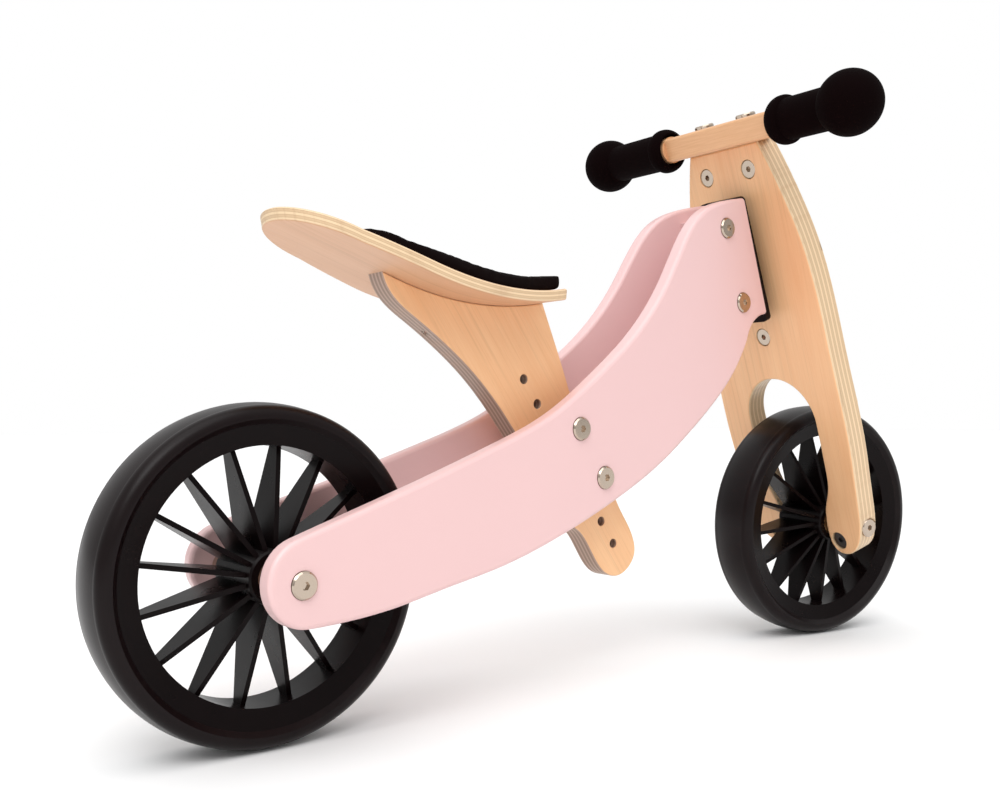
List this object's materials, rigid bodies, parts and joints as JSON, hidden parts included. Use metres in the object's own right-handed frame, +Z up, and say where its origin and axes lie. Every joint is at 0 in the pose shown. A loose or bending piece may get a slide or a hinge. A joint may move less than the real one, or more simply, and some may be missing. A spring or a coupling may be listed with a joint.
{
  "type": "balance bike",
  "caption": "Wooden child's balance bike with two curved frame panels, bent seat on a height-adjustable post, steering fork board, ball-ended grips and spoked foam-tyred wheels.",
  "frame": {"origin": "on the ground, under the centre of the bike's bounding box", "axes": "+X forward along the bike, +Y to the rider's left, +Z up"},
  "size_m": [0.7317, 0.3242, 0.4463],
  "materials": {
    "pink_paint": "satin paint over plywood",
    "ply": "clear satin lacquer over birch plywood",
    "bar_wood": "clear satin lacquer over solid wood",
    "tyre": "smooth foam with a soft sheen",
    "black_plastic": "moulded, semi-matt",
    "nylon": "natural nylon",
    "grip_foam": "matt foam",
    "pad_fabric": "woven cover over foam",
    "steel": "nickel-plated",
    "dark_steel": "blackened"
  },
  "bodies": {
    "frame": {"frame_panel_right": "pink_paint", "frame_panel_left": "pink_paint", "head_block": "pink_paint", "steering_hinge": "black_plastic", "steering_bushings": "nylon", "hinge_screws": "dark_steel", "head_bolts": "steel", "head_bolt_nuts": "steel", "seat_bolts": "steel", "seat_bolt_nuts": "steel", "seat_spacers": "black_plastic", "seat_post": "ply", "seat_shell": "ply", "seat_pad": "pad_fabric", "seat_screws": "steel", "rear_axle_sleeve": "steel", "rear_axle_bolts": "steel", "rear_spacers": "steel", "rear_bearing_inner_rings": "steel"},
    "rear_wheel": {"rear_tyre": "tyre", "rear_rim": "black_plastic", "rear_bearing_outer_rings": "steel", "rear_bearing_balls": "steel"},
    "fork": {"fork_board": "ply", "handlebar": "bar_wood", "grip_right": "grip_foam", "grip_left": "grip_foam", "handlebar_bolts": "steel", "handlebar_barrel_nuts": "steel", "steering_bolt": "steel", "steering_barrel_nut": "steel", "steering_washers": "steel", "foot_dowels": "dark_steel", "front_axle_sleeve": "steel", "front_axle_bolts": "steel", "front_spacers": "steel", "front_bearing_inner_rings": "steel"},
    "front_wheel": {"front_tyre": "tyre", "front_rim": "black_plastic", "front_bearing_outer_rings": "steel", "front_bearing_balls": "steel"}
  },
  "joints": [
    {"name": "steer", "type": "hinge", "parent": "frame", "child": "fork", "pos_m": [0.266, 0, 0.1004], "axis": [-0.3366, 0, 0.9416], "range_deg": [-16.89, 33.11]},
    {"name": "rear_wheel_spin", "type": "hinge", "parent": "frame", "child": "rear_wheel", "pos_m": [-0.266, 0, 0.1], "axis": [0, 1, 0], "continuous": true},
    {"name": "front_wheel_spin", "type": "hinge", "parent": "fork", "child": "front_wheel", "pos_m": [0.266, 0, 0.1004], "axis": [0.1328, 0.99, 0.0475], "continuous": true}
  ]
}
